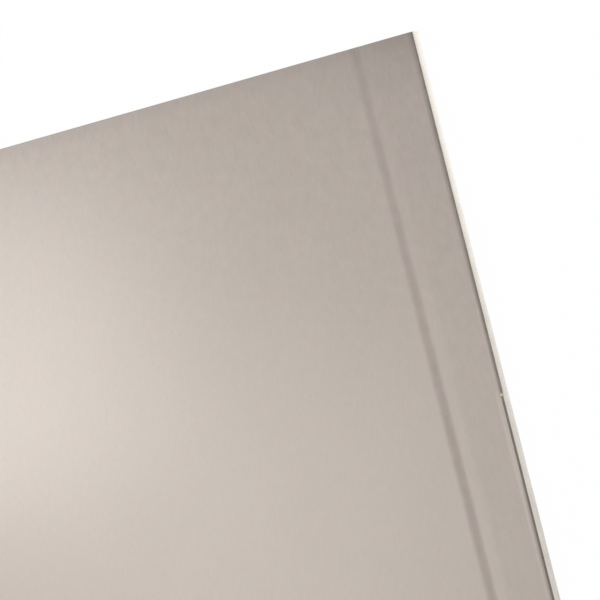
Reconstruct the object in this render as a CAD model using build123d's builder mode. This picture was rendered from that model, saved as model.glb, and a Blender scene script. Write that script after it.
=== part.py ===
"""Drywall sheet with tapered long edges, lying on its back with the face up.

The frame: X across the width, Y along the length, Z up through the thickness, with the origin in
the middle of the back. The section is drawn for one half, mirrored, and run along the length, so
both long edges are alike and the two ends are square cuts. All lengths are in millimetres.
"""

import os

from build123d import *

# The sheet
board_width = 1200.0
board_length = 2400.0
board_thickness = 12.5

# The recess for joint tape and filler along each long edge, from the field of the face outwards:
# a soft shoulder, a level land at its foot and a plane that falls gently to the arris
taper_width = 60.0
shoulder_run = 6.2
shoulder_drop = 0.5
shoulder_radius = 65.0
land_width = 12.5
plane_fall = 0.4
plane_radius = 600.0

# The long edge: an eased arris that rolls down to the fold of the liner, an upright edge face
# below the fold, and a small round where the edge meets the back
arris_run = 2.2
arris_drop = 2.1
back_radius = 1.0

# Levels and places worked out from the sizes above, for the half of the section on the +X side
edge_x = board_width / 2
shoulder_head_x = edge_x - taper_width
shoulder_foot_x = shoulder_head_x + shoulder_run
land_end_x = shoulder_foot_x + land_width
arris_x = edge_x - arris_run
land_z = board_thickness - shoulder_drop
arris_z = land_z - plane_fall
fold_z = arris_z - arris_drop

os.makedirs("parts", exist_ok=True)

with BuildPart() as drywall_sheet:
    with BuildSketch(Plane.XZ):
        with BuildLine():
            face = FilletPolyline(
                (0, board_thickness),
                (shoulder_head_x, board_thickness),
                (shoulder_foot_x, land_z),
                (land_end_x, land_z),
                (arris_x, arris_z),
                radius=(shoulder_radius, shoulder_radius, plane_radius),
            )
            arris = TangentArc(face @ 1, (edge_x, fold_z), tangent=face % 1)
            Polyline(arris @ 1, (edge_x, 0), (0, 0))
            mirror(about=Plane.YZ)
        make_face()
    extrude(amount=board_length / 2, both=True)
    back_edges = drywall_sheet.edges().filter_by(Axis.Y).group_by(Axis.Z)[0]
    fillet(back_edges, radius=back_radius)

drywall_sheet.part.label = "drywall_sheet"
export_step(drywall_sheet.part, "parts/drywall_sheet.step")
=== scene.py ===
"""Dressed model of a drywall sheet: one board with tapered long edges, face up on a pale floor.

The board is one mesh that stands for the one CAD solid and lies in its frame: X across the width,
Y along the length, Z up out of the face, with the origin in the middle of the back. Sizes of the
board are in millimetres, and MM turns them into Blender's metres. Places in the studio are in
metres. Colours are sRGB hex values.
"""

import logging
import math
from collections.abc import Callable
from dataclasses import dataclass
from enum import Enum, IntEnum

import bmesh
import bpy
from mathutils import Euler, Matrix, Vector


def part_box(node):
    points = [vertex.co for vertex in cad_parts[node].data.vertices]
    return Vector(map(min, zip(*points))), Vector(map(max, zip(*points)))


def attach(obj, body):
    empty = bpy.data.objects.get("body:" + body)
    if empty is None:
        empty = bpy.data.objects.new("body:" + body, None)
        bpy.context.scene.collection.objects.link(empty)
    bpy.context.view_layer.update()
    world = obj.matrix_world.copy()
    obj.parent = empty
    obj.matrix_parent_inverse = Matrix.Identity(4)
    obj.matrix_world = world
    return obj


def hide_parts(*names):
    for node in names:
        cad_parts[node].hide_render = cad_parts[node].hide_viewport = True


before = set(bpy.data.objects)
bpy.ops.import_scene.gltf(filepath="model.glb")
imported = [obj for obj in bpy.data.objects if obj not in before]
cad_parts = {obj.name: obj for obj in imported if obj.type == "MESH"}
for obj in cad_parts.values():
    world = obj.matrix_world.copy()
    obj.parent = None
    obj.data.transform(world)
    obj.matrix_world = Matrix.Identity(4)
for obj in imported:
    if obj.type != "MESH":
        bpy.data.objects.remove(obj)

log = logging.getLogger("drywall_sheet")

MM = 0.001
NODE = "drywall_sheet"
BODY = "root"
NEAR = 0.02                 # mm, within which a vertex counts as being at a place
MOST_CUTS = 100             # the most that one call of subdivide makes
FACING = 0.5                # least part of a normal along an axis, for a face turned that way
SQUARE_ON = 0.99            # the same for a face that is square to the axis
NOISE_MEAN = 0.5            # of a noise texture
NOISE_LOW = 0.3             # few values of a noise texture lie below this
NOISE_HIGH = 0.7            # few values lie above this


class Element(Enum):
    """What is picked in edit mode, with the name of its list in an edit mesh."""

    VERT = "verts"
    EDGE = "edges"
    FACE = "faces"


class Zone(IntEnum):
    """The surfaces of the board, in the order of its material slots."""

    FACE_LINER = 0
    EDGE_LINER = 1
    CUT_PAPER = 2
    CORE = 3
    BACK_LINER = 4


def linear(code: str) -> tuple[float, float, float, float]:
    """Turns an sRGB hex value into linear light.

    Args:
        code: Colour such as "#A59A91".

    Returns:
        Red, green and blue in linear light, and an alpha of 1.
    """
    parts = [int(code[at:at + 2], 16) / 255 for at in (1, 3, 5)]
    light = [p / 12.92 if p <= 0.04045 else ((p + 0.055) / 1.055) ** 2.4 for p in parts]
    return (*light, 1.0)


def add_node(tree: bpy.types.NodeTree, kind: str, settings: dict | None = None,
             values: dict | None = None, links: dict | None = None) -> bpy.types.Node:
    """Adds a node with its settings, the values of its sockets and its incoming links.

    Args:
        tree: Node tree that gets the node.
        kind: Type of the node, without the ShaderNode that its name starts with.
        settings: Properties of the node, by name.
        values: Constant values, by the name or number of the socket that holds them.
        links: Output sockets of other nodes, by the name or number of the socket that they feed.

    Returns:
        The new node.
    """
    node = tree.nodes.new("ShaderNode" + kind)
    for name, value in (settings or {}).items():
        setattr(node, name, value)
    named = {socket.name: socket for socket in reversed(node.inputs) if socket.enabled}
    for key, value in (values or {}).items():
        socket = node.inputs[key] if isinstance(key, int) else named[key]
        socket.default_value = value
    for key, output in (links or {}).items():
        socket = node.inputs[key] if isinstance(key, int) else named[key]
        tree.links.new(output, socket)
    return node


def add_noise(tree: bpy.types.NodeTree, place: bpy.types.NodeSocket, grain: float,
              detail: float) -> bpy.types.NodeSocket:
    """Adds a noise texture.

    Args:
        tree: Node tree that gets the texture.
        place: Coordinates.
        grain: Size of its unevenness, in the unit of the coordinates.
        detail: How many finer layers it has.

    Returns:
        The output that holds its value.
    """
    return add_node(
        tree, "TexNoise", values={"Scale": 1 / grain, "Detail": detail}, links={"Vector": place},
    ).outputs[0]


def new_material(name: str) -> tuple[bpy.types.Material, bpy.types.NodeTree]:
    """Makes an empty node material.

    Args:
        name: Name of the material.

    Returns:
        The material and its node tree.
    """
    material = bpy.data.materials.new(name)
    material.use_nodes = True
    material.node_tree.nodes.clear()
    return material, material.node_tree


def pick(board: bpy.types.Object, element: Element, test: Callable) -> None:
    """Selects what passes a test, and nothing else, on an object in edit mode.

    Args:
        board: Object in edit mode.
        element: Vertices, edges or faces.
        test: Function that takes one of them and says whether it is selected.
    """
    bpy.ops.mesh.select_mode(type=element.name)
    bpy.ops.mesh.select_all(action="DESELECT")
    mesh = bmesh.from_edit_mesh(board.data)
    for item in getattr(mesh, element.value):
        if test(item):
            item.select_set(True)
    mesh.select_flush_mode()
    bmesh.update_edit_mesh(board.data)


@dataclass(frozen=True)
class FoldShadeAndGrime:
    """Painted shade along the fold at each long edge, with some grime, a darker rim at each cut end and
    painted shade at the far corner.

    It darkens the paper in a line along the fold that stands in for the shade of the arris, wider near the
    far end, and crisp where the liner is creased, where it stands in for the shadow under the lip. It
    darkens the rim near each cut end, and towards the far right-hand corner as painted shade. How far round
    the arris a point lies is its distance out plus its distance down, from 0 at the height of the arris's
    start, right above the edge.
    """

    half_width: float               # mm
    half_length: float              # mm
    half_thickness: float           # mm
    arris_z: float                  # mm, where the arris starts
    crease_start: float             # mm, along the length
    crease_end: float               # mm
    # dark colour that the painted shade and the grime mix in
    tone: str = "#4A423C"
    # painted shade of the arris, along the whole fold
    soft_start: float = -1.2        # mm, round the arris
    soft_end: float = 2.1           # mm
    soft_share: float = 0.64
    # wider painted shade of the arris near the far end
    far_start: float = -3.0         # mm, round the arris
    far_end: float = 2.5            # mm
    far_share: float = 0.72
    far_reach: float = 220.0        # mm, from the far end
    # painted shadow under the lip, where the liner is creased
    crisp_start: float = -0.45      # mm, round the arris
    crisp_end: float = 0.0          # mm
    crisp_share: float = 0.68
    crease_blend: float = 1.0       # mm, before and after the start of the crease
    crease_fade: float = 100.0      # mm, at its end
    # darker rim near each cut end
    rim_reach: float = 16.0         # mm
    rim_share: float = 0.1
    # painted shade towards the far right-hand corner
    corner_across: float = 200.0    # mm
    corner_along: float = 60.0      # mm
    corner_share: float = 0.26
    patch: float = 7.0              # mm
    lightest_patch_share: float = 0.8         # share of the darkening in the lightest patches
    darkest_patch_share: float = 1.1          # share of it in the darkest ones

    def darken(self, tree: bpy.types.NodeTree, place: bpy.types.NodeSocket,
               colour: bpy.types.NodeSocket) -> bpy.types.NodeSocket:
        """Adds the painted shade and the grime to a paper's colour.

        Args:
            tree: The paper's node tree.
            place: Object coordinates.
            colour: The clean paper's colour.

        Returns:
            The darkened paper's colour.
        """
        axes = add_node(tree, "SeparateXYZ", links={0: place}).outputs
        across = add_node(tree, "Math", {"operation": "ABSOLUTE"}, links={0: axes["X"]}).outputs[0]
        along = add_node(tree, "Math", {"operation": "ABSOLUTE"}, links={0: axes["Y"]}).outputs[0]
        slant = add_node(
            tree, "Math", {"operation": "SUBTRACT"}, links={0: across, 1: axes["Z"]},
        ).outputs[0]
        zero = self.half_width - self.arris_z

        def band(value: bpy.types.NodeSocket, low: float, high: float,
                 most: float) -> bpy.types.NodeSocket:
            """Adds a soft step from 0 at low to most at high, both in mm, and returns its output."""
            return add_node(
                tree, "MapRange", {"interpolation_type": "SMOOTHSTEP"},
                {"From Min": low * MM, "From Max": high * MM, "To Max": most}, {"Value": value},
            ).outputs[0]

        def times(first: bpy.types.NodeSocket, second: bpy.types.NodeSocket) -> bpy.types.NodeSocket:
            """Adds a product and returns its output."""
            return add_node(
                tree, "Math", {"operation": "MULTIPLY"}, links={0: first, 1: second},
            ).outputs[0]

        # painted shade of the arris along the fold
        clean = band(slant, zero + self.soft_start, zero + self.soft_end, self.soft_share)
        # wider painted shade near the far end, blended in towards it
        wider = band(slant, zero + self.far_start, zero + self.far_end, self.far_share)
        near_far_end = band(axes["Y"], self.half_length - self.far_reach, self.half_length, 1.0)
        soft = add_node(
            tree, "Mix", links={"Factor": near_far_end, "A": clean, "B": wider},
        ).outputs["Result"]
        # painted shadow under the creased lip
        crisp = band(slant, zero + self.crisp_start, zero + self.crisp_end, self.crisp_share)
        begun = band(
            axes["Y"], self.crease_start + self.crease_blend, self.crease_start - self.crease_blend, 1.0,
        )
        going = band(axes["Y"], self.crease_end, self.crease_end + self.crease_fade, 1.0)
        right = add_node(
            tree, "Math", {"operation": "GREATER_THAN"}, {1: 0.0}, {0: axes["X"]},
        ).outputs[0]
        creased = times(times(begun, going), right)
        fold = add_node(
            tree, "Mix", links={"Factor": creased, "A": soft, "B": crisp},
        ).outputs["Result"]
        # darker rim near each cut end
        rim = band(along, self.half_length - self.rim_reach, self.half_length, self.rim_share)
        # painted shade towards the far right-hand corner
        corner_x = self.half_width - self.corner_across
        inwards = add_node(
            tree, "MapRange", values={"From Min": corner_x * MM, "From Max": self.half_width * MM},
            links={"Value": axes["X"]},
        ).outputs[0]
        corner_y = self.half_length - self.corner_along
        corner_band = band(axes["Y"], corner_y, self.half_length, self.corner_share)
        corner = times(times(inwards, inwards), corner_band)
        ends_darkening = add_node(tree, "Math", {"operation": "ADD"}, links={0: rim, 1: corner}).outputs[0]
        # the strongest of the painted shade and the darker rim, uneven in patches
        darkening_share = add_node(tree, "Math", {"operation": "MAXIMUM"}, links={0: fold, 1: ends_darkening}).outputs[0]
        patches = add_noise(tree, place, self.patch * MM, detail=3.0)
        patch_share = add_node(
            tree, "MapRange",
            values={"From Min": NOISE_LOW, "From Max": NOISE_HIGH, "To Min": self.lightest_patch_share,
                    "To Max": self.darkest_patch_share},
            links={"Value": patches},
        ).outputs[0]
        above = add_node(
            tree, "Math", {"operation": "GREATER_THAN"}, {1: self.half_thickness * MM}, {0: axes["Z"]},
        ).outputs[0]
        return add_node(
            tree, "Mix", {"data_type": "RGBA"}, {"B": linear(self.tone)},
            {"Factor": times(times(darkening_share, patch_share), above), "A": colour},
        ).outputs["Result"]


@dataclass(frozen=True)
class LinerPaper:
    """Multi-ply liner of recycled fibre, made on a paper machine and calendered on the outside.

    It gives the eye a warm even grey with faint streaks along the length, where the fibres lie,
    soft clouds where the pulp flocked, and a low sheen.
    """

    name: str
    light_tone: str
    dark_tone: str
    roughness: float
    ior: float = 1.5
    rough_spread: float = 0.006     # of the roughness about its mean
    fibre_width: float = 1.6        # mm; real fibres are 0.03 wide, too fine to show
    fibre_length: float = 8.0       # mm
    floc: float = 9.0               # mm
    cloud: float = 120.0            # mm
    cloud_share: float = 0.55       # how strong the clouds are beside the fibres and the flocs
    spread: float = 0.6             # of the pattern about its mean, from the dark tone to the light one
    relief: float = 0.0015          # mm

    def make(self, shade_grime: FoldShadeAndGrime | None = None) -> bpy.types.Material:
        """Builds the material.

        Args:
            shade_grime: Painted shade along the folds and towards the far corner, with grime, and a darker
                rim at the cut ends, or none.

        Returns:
            The paper's material.
        """
        material, tree = new_material(self.name)
        place = add_node(tree, "TexCoord").outputs["Object"]
        across = 1 / (self.fibre_width * MM)
        along = 1 / (self.fibre_length * MM)
        grain = add_node(
            tree, "Mapping", values={"Scale": (across, along, across)}, links={"Vector": place},
        ).outputs["Vector"]
        fibres = add_noise(tree, grain, 1.0, detail=2.0)
        flocs = add_noise(tree, place, self.floc * MM, detail=3.0)
        clouds = add_noise(tree, place, self.cloud * MM, detail=2.0)
        fine = add_node(tree, "Math", {"operation": "ADD"}, links={0: fibres, 1: flocs}).outputs[0]
        whole = add_node(
            tree, "Math", {"operation": "MULTIPLY_ADD"}, {1: self.cloud_share}, {0: clouds, 2: fine},
        ).outputs[0]
        mean = NOISE_MEAN * (2 + self.cloud_share)
        share = add_node(
            tree, "MapRange", values={"From Min": mean - self.spread, "From Max": mean + self.spread},
            links={"Value": whole},
        ).outputs[0]
        colour = add_node(
            tree, "Mix", {"data_type": "RGBA"},
            {"A": linear(self.dark_tone), "B": linear(self.light_tone)}, {"Factor": share},
        ).outputs["Result"]
        if shade_grime is not None:
            colour = shade_grime.darken(tree, place, colour)
        rough = add_node(
            tree, "MapRange",
            values={"From Min": NOISE_LOW, "From Max": NOISE_HIGH,
                    "To Min": self.roughness - self.rough_spread,
                    "To Max": self.roughness + self.rough_spread},
            links={"Value": flocs},
        ).outputs[0]
        bump = add_node(
            tree, "Bump", values={"Strength": 1.0, "Distance": self.relief * MM}, links={"Height": fine},
        ).outputs["Normal"]
        shader = add_node(
            tree, "BsdfPrincipled", values={"IOR": self.ior},
            links={"Base Color": colour, "Roughness": rough, "Normal": bump},
        )
        add_node(tree, "OutputMaterial", links={"Surface": shader.outputs["BSDF"]})
        return material


@dataclass(frozen=True)
class ChalkyPaper:
    """Liner folded round the long edge and rubbed with gypsum powder where boards slide past each other.

    It gives the eye a matt ivory with slightly darker scuffs and no sheen. Near the far end it is painted
    lighter, and there lighter towards the back and darker just under the fold, as painted light and shade.
    """

    edge_height: float              # mm
    light_start_place: float               # mm along the length, from where the painted light grows
    light_end_place: float              # mm along the length, up to where the painted light is strongest
    name: str = "dusted_edge_liner"
    dust_tone: str = "#F8F3ED"
    scuff_tone: str = "#DFD8D0"
    roughness: float = 0.85
    ior: float = 1.5
    # share of the dust tone, raised near the far end as painted light
    dust_share: float = 0.25
    far_dust_and_light_share: float = 0.6
    painted_light_slope: float = 1.2           # painted light near the far end: lighter towards the back, darker under the fold
    patchiness: float = 0.5
    scuff: float = 6.0              # mm
    scuff_stretch: float = 2.5
    relief: float = 0.08            # mm

    def make(self) -> bpy.types.Material:
        """Builds the material and returns it."""
        material, tree = new_material(self.name)
        place = add_node(tree, "TexCoord").outputs["Object"]
        axes = add_node(tree, "SeparateXYZ", links={0: place}).outputs
        short = 1 / (self.scuff * MM)
        grain = add_node(
            tree, "Mapping", values={"Scale": (short, short / self.scuff_stretch, short)},
            links={"Vector": place},
        ).outputs["Vector"]
        scuffs = add_noise(tree, grain, 1.0, detail=4.0)
        patches = add_node(
            tree, "MapRange",
            values={"From Min": NOISE_LOW, "From Max": NOISE_HIGH, "To Min": -self.patchiness / 2,
                    "To Max": self.patchiness / 2},
            links={"Value": scuffs},
        ).outputs[0]
        spread = {"From Min": self.light_start_place * MM, "From Max": self.light_end_place * MM}
        # painted light: lighter towards the far end
        dust_and_far_light = add_node(
            tree, "MapRange", values={**spread, "To Min": self.dust_share, "To Max": self.far_dust_and_light_share},
            links={"Value": axes["Y"]},
        ).outputs[0]
        # painted light and shade near the far end: lighter towards the back, darker under the fold
        light_slope = add_node(
            tree, "MapRange", values={**spread, "To Max": self.painted_light_slope}, links={"Value": axes["Y"]},
        ).outputs[0]
        depth = add_node(
            tree, "MapRange",
            values={"From Max": self.edge_height * MM, "To Min": 1.0, "To Max": -1.0},
            links={"Value": axes["Z"]},
        ).outputs[0]
        lower = add_node(
            tree, "Math", {"operation": "MULTIPLY_ADD"}, links={0: light_slope, 1: depth, 2: dust_and_far_light},
        ).outputs[0]
        share = add_node(
            tree, "Math", {"operation": "ADD", "use_clamp": True}, links={0: lower, 1: patches},
        ).outputs[0]
        colour = add_node(
            tree, "Mix", {"data_type": "RGBA"},
            {"A": linear(self.scuff_tone), "B": linear(self.dust_tone)}, {"Factor": share},
        ).outputs["Result"]
        bump = add_node(
            tree, "Bump", values={"Strength": 1.0, "Distance": self.relief * MM}, links={"Height": scuffs},
        ).outputs["Normal"]
        shader = add_node(
            tree, "BsdfPrincipled", values={"IOR": self.ior, "Roughness": self.roughness},
            links={"Base Color": colour, "Normal": bump},
        )
        add_node(tree, "OutputMaterial", links={"Surface": shader.outputs["BSDF"]})
        return material


@dataclass(frozen=True)
class GypsumCore:
    """Foamed gypsum plaster, cast between the liners and cut across with a blade.

    It gives the eye a dry off-white, pitted by air bubbles with painted shade in their hollows, and
    grey crumbs dragged along the cut.
    """

    name: str = "foamed_gypsum_core"
    plaster_tone: str = "#EAE6DD"
    # darker tone at the middle of each bubble pit, painted shade
    pit_shade_tone: str = "#D3CDC2"
    roughness: float = 0.95
    ior: float = 1.52
    bubble: float = 0.85            # mm
    pit_start: float = 0.12         # bubble sizes from the middle of a pit, as far as it is darkest
    pit_end: float = 0.34           # bubble sizes from its middle to its rim
    crumb: float = 5.0              # mm
    crumb_end: float = 0.6          # value of the crumbs' noise above which the plaster is clean
    least_clean: float = 0.7        # share of the plaster's tone among the crumbs
    pit_depth: float = 0.15         # mm

    def make(self) -> bpy.types.Material:
        """Builds the material and returns it."""
        material, tree = new_material(self.name)
        place = add_node(tree, "TexCoord").outputs["Object"]
        bubbles = add_node(
            tree, "TexVoronoi", values={"Scale": 1 / (self.bubble * MM)}, links={"Vector": place},
        ).outputs["Distance"]
        crumbs = add_noise(tree, place, self.crumb * MM, detail=5.0)
        pits = add_node(
            tree, "MapRange", {"interpolation_type": "SMOOTHSTEP"},
            {"From Min": self.pit_start, "From Max": self.pit_end}, {"Value": bubbles},
        ).outputs[0]
        share = add_node(
            tree, "MapRange",
            values={"From Min": NOISE_LOW, "From Max": self.crumb_end, "To Min": self.least_clean},
            links={"Value": crumbs},
        ).outputs[0]
        clean = add_node(tree, "Math", {"operation": "MULTIPLY"}, links={0: pits, 1: share}).outputs[0]
        colour = add_node(
            tree, "Mix", {"data_type": "RGBA"},
            {"A": linear(self.pit_shade_tone), "B": linear(self.plaster_tone)}, {"Factor": clean},
        ).outputs["Result"]
        bump = add_node(
            tree, "Bump", values={"Strength": 1.0, "Distance": self.pit_depth * MM},
            links={"Height": clean},
        ).outputs["Normal"]
        shader = add_node(
            tree, "BsdfPrincipled", values={"IOR": self.ior, "Roughness": self.roughness},
            links={"Base Color": colour, "Normal": bump},
        )
        add_node(tree, "OutputMaterial", links={"Surface": shader.outputs["BSDF"]})
        return material


@dataclass
class Nick:
    """A small tear in the liner at the right-hand fold, with the lip and crease that run on from it."""

    from_far_end: float = 295.0     # mm
    length: float = 2.3             # mm
    end_share: float = 0.6          # of its length, at its top and its bottom
    depth: float = 0.35             # mm
    margin: float = 1.2             # mm, of torn paper before and after it
    top_row: int = 3                # of the arris, where it starts
    below_fold: float = 0.35        # mm, by which it reaches down the edge
    fold_sink: float = 0.9          # mm, by which the fold lies lower beyond the nick
    lip_rise: float = 0.06          # mm, above the start of the arris
    lip_hold: float = 70.0          # mm, at full height
    lip_fade: float = 190.0         # mm
    far_lip_share: float = 0.95     # of the lip, which lies level beyond the nick
    far_lip_hold: float = 80.0      # mm
    far_lip_fade: float = 220.0     # mm
    lip_steps: int = 12
    crease_length: float = 300.0    # mm


@dataclass
class DrywallSheet:
    """The board: gypsum core and paper liners bonded as one piece, with tapered long edges.

    Its lengths are in millimetres, named as in part.py where part.py has them. low and high are the
    corners of the CAD box, in metres.
    """

    low: Vector
    high: Vector
    nick: Nick
    taper_width: float = 60.0
    shoulder_run: float = 6.2
    shoulder_drop: float = 0.5
    shoulder_radius: float = 65.0
    shoulder_steps: int = 8         # chords in each of its two rounds
    land_width: float = 12.5
    plane_fall: float = 0.4
    plane_radius: float = 600.0
    plane_steps: int = 4
    arris_run: float = 2.2
    arris_drop: float = 2.1
    arris_steps: int = 8
    lip_rows: int = 5               # rows of the arris that the lip at the nick takes in
    lip_width: float = 4.8          # from the long edge inwards
    liner_drop: float = 2.85        # from the start of the arris down to where the pale edge liner begins
    hold_gap: float = 1.0           # between a round and the row that keeps its shading in place
    back_radius: float = 1.0
    back_steps: int = 6
    flap_width: float = 26.0        # of the face liner where it is turned over on the back
    flap_step: float = 0.3          # by which the back liner stands out beside it
    liner_thickness: float = 0.45
    core_setback: float = 0.25
    core_ramp: float = 0.1          # width of the slope between the rim and the core
    core_pitch: float = 8.0         # of the cuts that divide the core
    core_rows: int = 3              # of cuts across its height
    core_crumble: float = 0.3       # depth of the crumbling
    core_crumb: float = 6.0         # size of a crumb
    along_pitch: float = 6.0        # of the rows across the board
    edge_rows: int = 3              # of cuts along the upright edge
    edge_wave: float = 0.4          # depth of the wave in it
    edge_wave_length: float = 16.0
    core_slack: float = 1.2         # times the setback, within which a face belongs to a cut end
    edge_light_start: float = 450.0       # from the far end, where the painted light on the upright edge starts to grow
    edge_light_end: float = 50.0          # from the far end, where it is strongest
    smooth_angle: float = 16.0      # degrees

    def __post_init__(self) -> None:
        """Takes the board's overall size from the CAD box."""
        self.half_width = (self.high.x - self.low.x) / 2 / MM
        self.half_length = (self.high.y - self.low.y) / 2 / MM
        self.thickness = (self.high.z - self.low.z) / MM
        self.head_x = self.half_width - self.taper_width
        self.foot_x = self.head_x + self.shoulder_run
        self.land_end_x = self.foot_x + self.land_width
        self.arris_x = self.half_width - self.arris_run
        self.arris_z = self.thickness - self.shoulder_drop - self.plane_fall
        self.fold_z = self.arris_z - self.arris_drop
        self.liner_z = self.arris_z - self.liner_drop
        self.low_liner_z = self.liner_z - self.nick.fold_sink
        self.nick_z = self.fold_z - self.nick.below_fold
        self.nick_y = self.half_length - self.nick.from_far_end
        self.face_rows, self.arris_rows = self._section()

    def _arc(self, start: tuple[float, float], before: float, after: float, radius: float,
             steps: int) -> list[tuple[float, float]]:
        """Works out points on an arc of the section, which bends the face down or back up.

        Args:
            start: X and Z of the arc's first point, in mm.
            before: Angle by which the face slopes down at the start, in radians.
            after: Angle by which it slopes down at the end, in radians.
            radius: Radius of the arc, in mm.
            steps: Number of chords.

        Returns:
            X and Z of each point after the first, in mm.
        """
        way = math.copysign(radius, after - before)
        turns = [before + (after - before) * step / steps for step in range(1, steps + 1)]
        return [
            (start[0] + way * (math.sin(turn) - math.sin(before)),
             start[1] + way * (math.cos(turn) - math.cos(before))) for turn in turns
        ]

    def _section(self) -> tuple[list[tuple[float, float]], list[tuple[float, float]]]:
        """Works out the lengthwise rows of vertices that the right-hand half of the face needs.

        Returns:
            X and Z of the rows as far as the start of the arris, and of the rows round it down to its
            end, in mm.
        """
        land_z = self.thickness - self.shoulder_drop
        ramp = math.atan2(self.shoulder_drop, self.shoulder_run)
        fall = math.atan2(self.plane_fall, self.arris_x - self.land_end_x)
        chord = math.atan2(self.arris_drop, self.arris_run)
        soft = self.shoulder_radius * math.tan(ramp / 2)
        slight = self.plane_radius * math.tan(fall / 2)
        round_radius = math.hypot(self.arris_run, self.arris_drop) / 2 / math.sin(chord - fall)
        head = (self.head_x - soft, self.thickness)
        foot = (self.foot_x - soft * math.cos(ramp), land_z + soft * math.sin(ramp))
        knee = (self.land_end_x - slight, land_z)
        rows = [(head[0] - self.hold_gap, head[1]), head]
        rows += self._arc(head, 0, ramp, self.shoulder_radius, self.shoulder_steps)
        rows += [foot] + self._arc(foot, ramp, 0, self.shoulder_radius, self.shoulder_steps)
        rows += [(rows[-1][0] + self.hold_gap, land_z), (knee[0] - self.hold_gap, land_z), knee]
        rows += self._arc(knee, 0, fall, self.plane_radius, self.plane_steps)
        lip_x = self.half_width - self.lip_width
        plane = [rows[-1][0] + self.hold_gap, lip_x - self.hold_gap, lip_x]
        plane += [self.arris_x - self.hold_gap, self.arris_x]
        rows += [(x, self.arris_z + (self.arris_x - x) * math.tan(fall)) for x in plane]
        return rows, self._arc(rows[-1], fall, 2 * chord - fall, round_radius, self.arris_steps)

    def build(self) -> bpy.types.Object:
        """Models the board.

        Returns:
            The finished mesh object, without its materials.
        """
        self.board = self._blank()
        bpy.ops.object.mode_set(mode="EDIT")
        self._taper_face()
        self._fold_back()
        self._set_core_back()
        self._divide_along()
        self._tear_fold()
        bpy.ops.object.mode_set(mode="OBJECT")
        self._roughen("edge_wave", self._on_edge, self.edge_wave, self.edge_wave_length)
        self._roughen("core_crumble", self._on_core, self.core_crumble, self.core_crumb)
        bpy.ops.object.shade_smooth_by_angle(angle=math.radians(self.smooth_angle))
        return self.board

    def _blank(self) -> bpy.types.Object:
        """Adds the square-edged blank at the board's size and place, and returns it."""
        bpy.ops.object.select_all(action="DESELECT")
        bpy.ops.mesh.primitive_cube_add(
            size=1, location=(self.low + self.high) / 2, scale=self.high - self.low,
        )
        bpy.ops.object.transform_apply(location=True, rotation=True, scale=True)
        board = bpy.context.object
        board.name = "tapered_drywall_sheet"
        return board

    def _cut_top(self, x: float, drop: float) -> None:
        """Cuts the face lengthwise at x on both sides and lowers all that lies at or outside the cuts.

        Args:
            x: Distance of the cuts from the middle, in mm.
            drop: How far the outer part comes down, in mm.
        """
        if x < self.half_width - NEAR:
            for side in (-1, 1):
                pick(self.board, Element.FACE, lambda face: face.normal.z > FACING)
                bpy.ops.mesh.bisect(plane_co=(side * x * MM, 0, 0), plane_no=(1, 0, 0))
        middle = self.thickness / 2 * MM
        pick(self.board, Element.VERT, lambda v: v.co.z > middle and abs(v.co.x) > (x - NEAR) * MM)
        bpy.ops.transform.translate(value=(0, 0, -drop * MM))

    def _taper_face(self) -> None:
        """Presses the shoulder, land, falling plane and eased arris into both sides of the face."""
        height = self.thickness
        for x, z in self.face_rows + self.arris_rows:
            self._cut_top(x, height - z)
            height = z

    def _fold_back(self) -> None:
        """Makes the flaps of the face liner on the back, which the back liner covers but for a strip."""
        flap_x = self.half_width - self.flap_width
        middle = self.thickness / 2 * MM
        for x in (flap_x, flap_x + self.flap_step):
            for side in (-1, 1):
                pick(self.board, Element.FACE, lambda face: face.normal.z < -FACING)
                bpy.ops.mesh.bisect(plane_co=(side * x * MM, 0, 0), plane_no=(1, 0, 0))
        pick(self.board, Element.VERT, lambda v: v.co.z < middle and abs(v.co.x) > (flap_x + NEAR) * MM)
        bpy.ops.transform.translate(value=(0, 0, self.flap_step * MM))
        pick(
            self.board, Element.EDGE,
            lambda e: all(v.co.z < middle and abs(v.co.x) > (self.half_width - NEAR) * MM for v in e.verts),
        )
        bpy.ops.mesh.bevel(offset=self.back_radius * MM, segments=self.back_steps, profile=0.5)
        for row in range(1, self.edge_rows + 2):
            height = self.liner_z * row / (self.edge_rows + 1)
            pick(self.board, Element.FACE, lambda face: abs(face.normal.x) > SQUARE_ON)
            bpy.ops.mesh.bisect(plane_co=(0, 0, height * MM), plane_no=(0, 0, 1))

    def _set_core_back(self) -> None:
        """Leaves a rim of cut paper round each end and sets the core back inside it, finely divided."""
        pick(self.board, Element.FACE, lambda face: abs(face.normal.y) > SQUARE_ON)
        bpy.ops.mesh.inset(thickness=self.liner_thickness * MM)
        bpy.ops.mesh.inset(thickness=self.core_ramp * MM, depth=-self.core_setback * MM)
        core_y = (self.half_length - self.core_setback + NEAR) * MM
        columns = round(2 * self.half_width / self.core_pitch)
        cuts = [
            ((2 * column / columns - 1) * self.half_width, (1, 0, 0)) for column in range(1, columns)
        ]
        strips = self.core_rows + 1
        cuts += [(self.thickness * row / strips, (0, 0, 1)) for row in range(1, strips)]
        for place, normal in cuts:
            pick(
                self.board, Element.FACE,
                lambda face: abs(face.normal.y) > SQUARE_ON
                and abs(face.calc_center_median().y) < core_y,
            )
            bpy.ops.mesh.bisect(plane_co=Vector(normal) * place * MM, plane_no=normal)

    def _divide_along(self) -> None:
        """Divides all lengthwise edges evenly."""
        pieces = round(2 * self.half_length / self.along_pitch)
        first = MOST_CUTS + 1
        second = max(1, round(pieces / first))
        shortest = self.half_length / first / 2
        for cuts in (first - 1, second - 1):
            pick(
                self.board, Element.EDGE,
                lambda e: abs(e.verts[0].co.y - e.verts[1].co.y) > shortest * MM,
            )
            bpy.ops.mesh.subdivide(number_cuts=cuts)

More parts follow.
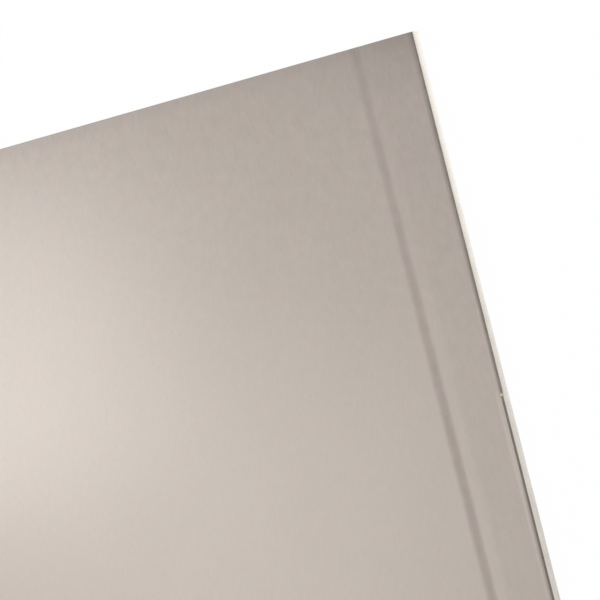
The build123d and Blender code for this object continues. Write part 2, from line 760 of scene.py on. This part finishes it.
    def _tear_fold(self) -> None:
        """Makes the nick at the right-hand fold, the lower fold beyond it and the lips both ways."""
        pick(
            self.board, Element.VERT,
            lambda v: v.co.x > (self.half_width - NEAR) * MM
            and abs(v.co.z - self.liner_z * MM) < NEAR * MM and v.co.y > self.nick_y * MM,
        )
        bpy.ops.transform.translate(value=(0, 0, -self.nick.fold_sink * MM))
        outer_x, lowest_z = self.arris_rows[self.lip_rows - 1]
        inner_x = self.half_width - self.lip_width
        for near, far, share, rise in self._lip_stretches():
            pick(
                self.board, Element.VERT,
                lambda v: (inner_x + NEAR) * MM < v.co.x < (outer_x + NEAR) * MM
                and v.co.z > (lowest_z - NEAR) * MM and near * MM < v.co.y <= far * MM,
            )
            bpy.ops.transform.resize(
                value=(1, 1, 1 - share), center_override=(0, 0, (self.arris_z + rise) * MM),
            )
        self._chip()

    def _chip(self) -> None:
        """Tears a small piece of paper with narrower ends out of the fold, so that its raw plies show."""
        nick = self.nick
        half = nick.length / 2
        cuts = [(Vector((0, 0, self.nick_z)), (0, 0, 1))]
        cuts += [
            (Vector((0, self.nick_y + offset, 0)), (0, 1, 0))
            for offset in (-half - nick.margin, -half, half, half + nick.margin)
        ]
        for place, normal in cuts:
            pick(
                self.board, Element.FACE,
                lambda face: self._near_nick(
                    face.calc_center_median(), self.along_pitch, self.low_liner_z,
                ),
            )
            bpy.ops.mesh.bisect(plane_co=place * MM, plane_no=normal)
        top_x = self.arris_rows[nick.top_row][0]
        pick(
            self.board, Element.VERT,
            lambda v: abs(abs(v.co.y - self.nick_y * MM) - half * MM) < NEAR * MM
            and (abs(v.co.x - top_x * MM) < NEAR * MM or abs(v.co.z - self.nick_z * MM) < NEAR * MM),
        )
        bpy.ops.transform.resize(
            value=(1, nick.end_share, 1), center_override=(0, self.nick_y * MM, 0),
        )
        pick(
            self.board, Element.FACE,
            lambda face: self._near_nick(face.calc_center_median(), half, self.nick_z),
        )
        bpy.ops.mesh.inset(thickness=nick.depth / 2 * MM)
        bpy.ops.transform.translate(value=(-nick.depth * MM, 0, -nick.depth / 2 * MM))

    def _near_nick(self, place: Vector, reach: float, lowest: float) -> bool:
        """Tells whether a place on the right-hand fold is near the nick.

        Args:
            place: The place, in Blender's metres.
            reach: How far from the middle of the nick it may be along the length, in mm.
            lowest: Height above which it must lie, in mm.

        Returns:
            True if it is.
        """
        outside = place.x > (self.arris_rows[self.nick.top_row][0] - NEAR) * MM
        above = place.z > lowest * MM
        return outside and above and abs(place.y - self.nick_y * MM) < reach * MM

    def _lip_stretches(self) -> list[tuple[float, float, float, float]]:
        """Works out how the lip at the nick fades out, both ways along the fold.

        Returns:
            The near and the far Y of each stretch, in mm, the lip's share of its full height there,
            and how far it rises above the start of the arris, in mm.
        """
        nick = self.nick
        near_end = self.nick_y - nick.lip_hold
        far_end = self.nick_y + nick.far_lip_hold
        near_pitch = nick.lip_fade / nick.lip_steps
        far_pitch = nick.far_lip_fade / nick.lip_steps
        stretches = [
            (near_end, self.nick_y, 1.0, nick.lip_rise), (self.nick_y, far_end, nick.far_lip_share, 0.0),
        ]
        for step in range(1, nick.lip_steps):
            rest = 1 - step / nick.lip_steps
            near_stop = near_end - (step - 1) * near_pitch
            stretches.append((near_end - step * near_pitch, near_stop, rest, nick.lip_rise))
            far_start = far_end + (step - 1) * far_pitch
            stretches.append((far_start, far_end + step * far_pitch, rest * nick.far_lip_share, 0.0))
        return stretches

    def _on_edge(self, place: Vector) -> bool:
        """Tells whether a vertex lies on an upright long edge, below the fold."""
        upright = abs(place.x) > (self.half_width - self.back_radius) * MM
        inside = abs(place.y) < self.high.y - NEAR * MM
        return upright and inside and NEAR * MM < place.z < (self.low_liner_z - NEAR) * MM

    def _on_core(self, place: Vector) -> bool:
        """Tells whether a vertex lies on the set-back core of an end."""
        inside = abs(place.y) < self.high.y - NEAR * MM
        return inside and abs(place.y) > self.high.y - self.along_pitch * MM / 2

    def _roughen(self, name: str, test: Callable, depth: float, grain: float) -> None:
        """Presses an uneven relief into part of the surface, inwards only.

        Args:
            name: Name of the vertex group and of the pattern.
            test: Function that takes a vertex's place and says whether it is pressed in.
            depth: Depth of the relief, in mm.
            grain: Size of its unevenness, in mm.
        """
        chosen = [v.index for v in self.board.data.vertices if test(v.co)]
        group = self.board.vertex_groups.new(name=name)
        group.add(chosen, 1.0, "REPLACE")
        pattern = bpy.data.textures.new(name, "CLOUDS")
        pattern.noise_scale = grain * MM
        press = self.board.modifiers.new(name, "DISPLACE")
        press.texture = pattern
        press.texture_coords = "LOCAL"
        press.vertex_group = name
        press.mid_level = 1.0
        press.strength = depth * MM
        bpy.ops.object.modifier_apply(modifier=name)
        self.board.vertex_groups.remove(self.board.vertex_groups[name])

    def _zone(self, face: bpy.types.MeshPolygon) -> Zone:
        """Tells which surface of the board a face belongs to."""
        if self._near_nick(face.center, self.nick.length / 2, self.nick_z):
            return Zone.CUT_PAPER
        end_y = self.high.y - self.core_setback * MM * self.core_slack
        if abs(face.normal.y) > FACING or abs(face.center.y) > end_y:
            rim = abs(face.center.y) > self.high.y - NEAR * MM
            return Zone.CUT_PAPER if rim else Zone.CORE
        if face.center.z > (self.liner_z + self.low_liner_z) / 2 * MM:
            return Zone.FACE_LINER
        if abs(face.center.x) > (self.half_width - self.back_radius) * MM:
            return Zone.EDGE_LINER
        flap = abs(face.center.x) > (self.half_width - self.flap_width + self.flap_step) * MM
        return Zone.FACE_LINER if flap else Zone.BACK_LINER

    def dress(self) -> None:
        """Gives every surface of the board its finish."""
        shade_grime = FoldShadeAndGrime(
            self.half_width, self.half_length, self.thickness / 2, self.arris_z, self.nick_y,
            self.nick_y - self.nick.crease_length,
        )
        face = LinerPaper("calendered_face_liner", "#ADA29A", "#9F948C", 0.25)
        edge_paper = ChalkyPaper(
            self.liner_z, self.half_length - self.edge_light_start, self.half_length - self.edge_light_end,
        )
        rim = LinerPaper("cut_liner_rim", "#DDD3C9", "#C9BFB4", 0.8, floc=2.0, relief=0.1)
        back = LinerPaper("kraft_back_liner", "#A2958A", "#92867B", 0.6, relief=0.03)
        finishes = {
            Zone.FACE_LINER: face.make(shade_grime),
            Zone.EDGE_LINER: edge_paper.make(),
            Zone.CUT_PAPER: rim.make(),
            Zone.CORE: GypsumCore().make(),
            Zone.BACK_LINER: back.make(),
        }
        for zone in Zone:
            self.board.data.materials.append(finishes[zone])
        for polygon in self.board.data.polygons:
            polygon.material_index = self._zone(polygon)


@dataclass(frozen=True)
class Softbox:
    """A square lamp with an even face, aimed at a point of the board."""

    name: str
    place: tuple[float, float, float]
    aim: tuple[float, float, float]
    size: float
    power: float
    tone: str = "#FFFFFF"

    def make(self) -> bpy.types.Object:
        """Adds the lamp and returns it."""
        bpy.ops.object.light_add(type="AREA", location=self.place)
        lamp = bpy.context.object
        lamp.name = self.name
        lamp.data.shape = "SQUARE"
        lamp.data.size = self.size
        lamp.data.energy = self.power
        lamp.data.color = linear(self.tone)[:3]
        sight = Vector(self.aim) - Vector(self.place)
        lamp.rotation_euler = sight.to_track_quat("-Z", "Y").to_euler()
        lamp.visible_camera = False
        return lamp


@dataclass(frozen=True)
class FarCard:
    """A far reflector, whose weak even light glances off the face of the board."""

    name: str
    azimuth: float                  # degrees from +X
    elevation: float                # degrees above the floor
    spread: float                   # degrees
    strength: float
    tone: str = "#FFFFFF"

    def make(self) -> bpy.types.Object:
        """Adds the lamp and returns it."""
        turn = Euler((0, math.radians(90 - self.elevation), math.radians(self.azimuth)))
        bpy.ops.object.light_add(type="SUN", rotation=turn)
        lamp = bpy.context.object
        lamp.name = self.name
        lamp.data.energy = self.strength
        lamp.data.color = linear(self.tone)[:3]
        lamp.data.angle = math.radians(self.spread)
        return lamp


@dataclass(frozen=True)
class Studio:
    """White surroundings: even light from all sides, a pale floor and three lamps.

    The softbox gives the sheen on the face, the far reflector a weak even light, and the low card
    brightens the long edge.
    """

    ambient: float = 0.80
    floor_size: float = 260.0
    floor_tone: str = "#F2F1EE"
    floor_white: float = 0.98
    sheen_box: Softbox = Softbox(
        "sheen_softbox", place=(-0.679, 1.045, 0.839), aim=(0.25, 1.0, 0.0125), size=0.36, power=2.68,
        tone="#FFF9F5",
    )
    far_card: FarCard = FarCard(
        "far_reflector", azimuth=185.0, elevation=49.86, spread=2.0, strength=0.151, tone="#FFF8EE",
    )
    low_card: Softbox = Softbox(
        "low_bounce_card", place=(0.92, 1.15, 0.009), aim=(0.6, 1.15, 0.006), size=0.016, power=0.25,
    )

    def build(self) -> None:
        """Sets the world, the lamps and the floor."""
        self._surround()
        self.sheen_box.make()
        self.far_card.make()
        self.low_card.make()
        self._floor()

    def _seen(self, tree: bpy.types.NodeTree) -> bpy.types.NodeSocket:
        """Adds nodes that give 1 to rays from the camera and to reflected and refracted ones.

        Args:
            tree: Node tree of the floor or the world.

        Returns:
            The output that holds the result.
        """
        rays = add_node(tree, "LightPath").outputs
        mirrored = add_node(
            tree, "Math", {"operation": "MAXIMUM"},
            links={0: rays["Is Glossy Ray"], 1: rays["Is Transmission Ray"]},
        ).outputs[0]
        return add_node(
            tree, "Math", {"operation": "MAXIMUM"}, links={0: rays["Is Camera Ray"], 1: mirrored},
        ).outputs[0]

    def _surround(self) -> None:
        """Makes the world white to the eye, with a plain level of light on the board."""
        world = bpy.data.worlds.new("white_surroundings")
        world.use_nodes = True
        tree = world.node_tree
        tree.nodes.clear()
        level = add_node(
            tree, "MapRange", values={"To Min": self.ambient, "To Max": 1.0},
            links={"Value": self._seen(tree)},
        ).outputs[0]
        shine = add_node(
            tree, "Background", values={"Color": (1.0, 1.0, 1.0, 1.0)}, links={"Strength": level},
        )
        add_node(tree, "OutputWorld", links={"Surface": shine.outputs[0]})
        bpy.context.scene.world = world

    def _floor(self) -> bpy.types.Object:
        """Lays a pale floor that shows white but keeps a faint shadow, and returns it."""
        bpy.ops.mesh.primitive_plane_add(size=self.floor_size, location=(0, 0, 0))
        floor = bpy.context.object
        floor.name = "studio_floor"
        material, tree = new_material("pale_floor")
        paint = add_node(tree, "BsdfDiffuse", values={"Color": linear(self.floor_tone)})
        white = add_node(tree, "Emission", values={"Strength": 1.0})
        share = add_node(
            tree, "MapRange", values={"To Max": self.floor_white}, links={"Value": self._seen(tree)},
        ).outputs[0]
        mixed = add_node(
            tree, "MixShader", links={0: share, 1: paint.outputs[0], 2: white.outputs[0]},
        )
        add_node(tree, "OutputMaterial", links={"Surface": mixed.outputs[0]})
        floor.data.materials.append(material)
        return floor


@dataclass(frozen=True)
class StudioCamera:
    """A long lens that looks down on the far right-hand corner of the board."""

    lens: float = 300.0                                              # mm
    target: tuple[float, float, float] = (0.42837, 1.01569, 0.01268)
    azimuth: float = 0.523                                           # degrees from +X
    elevation: float = 51.699                                        # degrees above the floor
    roll: float = -104.56                                            # degrees about the line of sight
    distance: float = 4.0492

    def make(self) -> bpy.types.Object:
        """Adds the camera, makes it the scene's own and returns it."""
        upright = Euler((math.radians(90 - self.elevation), 0, math.radians(90 + self.azimuth))).to_matrix()
        turned = upright @ Matrix.Rotation(math.radians(self.roll), 3, "Z")
        place = Vector(self.target) + turned.col[2] * self.distance
        bpy.ops.object.camera_add(location=place, rotation=turned.to_euler())
        camera = bpy.context.object
        camera.name = "studio_camera"
        camera.data.lens = self.lens
        bpy.context.scene.camera = camera
        return camera


def main() -> None:
    """Builds the board and the studio, and logs the board's faces and materials and the camera's place."""
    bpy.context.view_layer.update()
    sheet = DrywallSheet(*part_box(NODE), Nick())
    board = sheet.build()
    sheet.dress()
    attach(board, BODY)
    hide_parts(NODE)
    mesh = board.data
    log.info("%s: %d faces, %d materials", board.name, len(mesh.polygons), len(mesh.materials))
    Studio().build()
    camera = StudioCamera().make()
    log.info("%s at %s", camera.name, [round(part, 3) for part in camera.location])
    bpy.context.scene.view_settings.view_transform = "Standard"


if __name__ == "__main__":
    logging.basicConfig(level=logging.INFO, format="%(name)s: %(message)s")
    main()
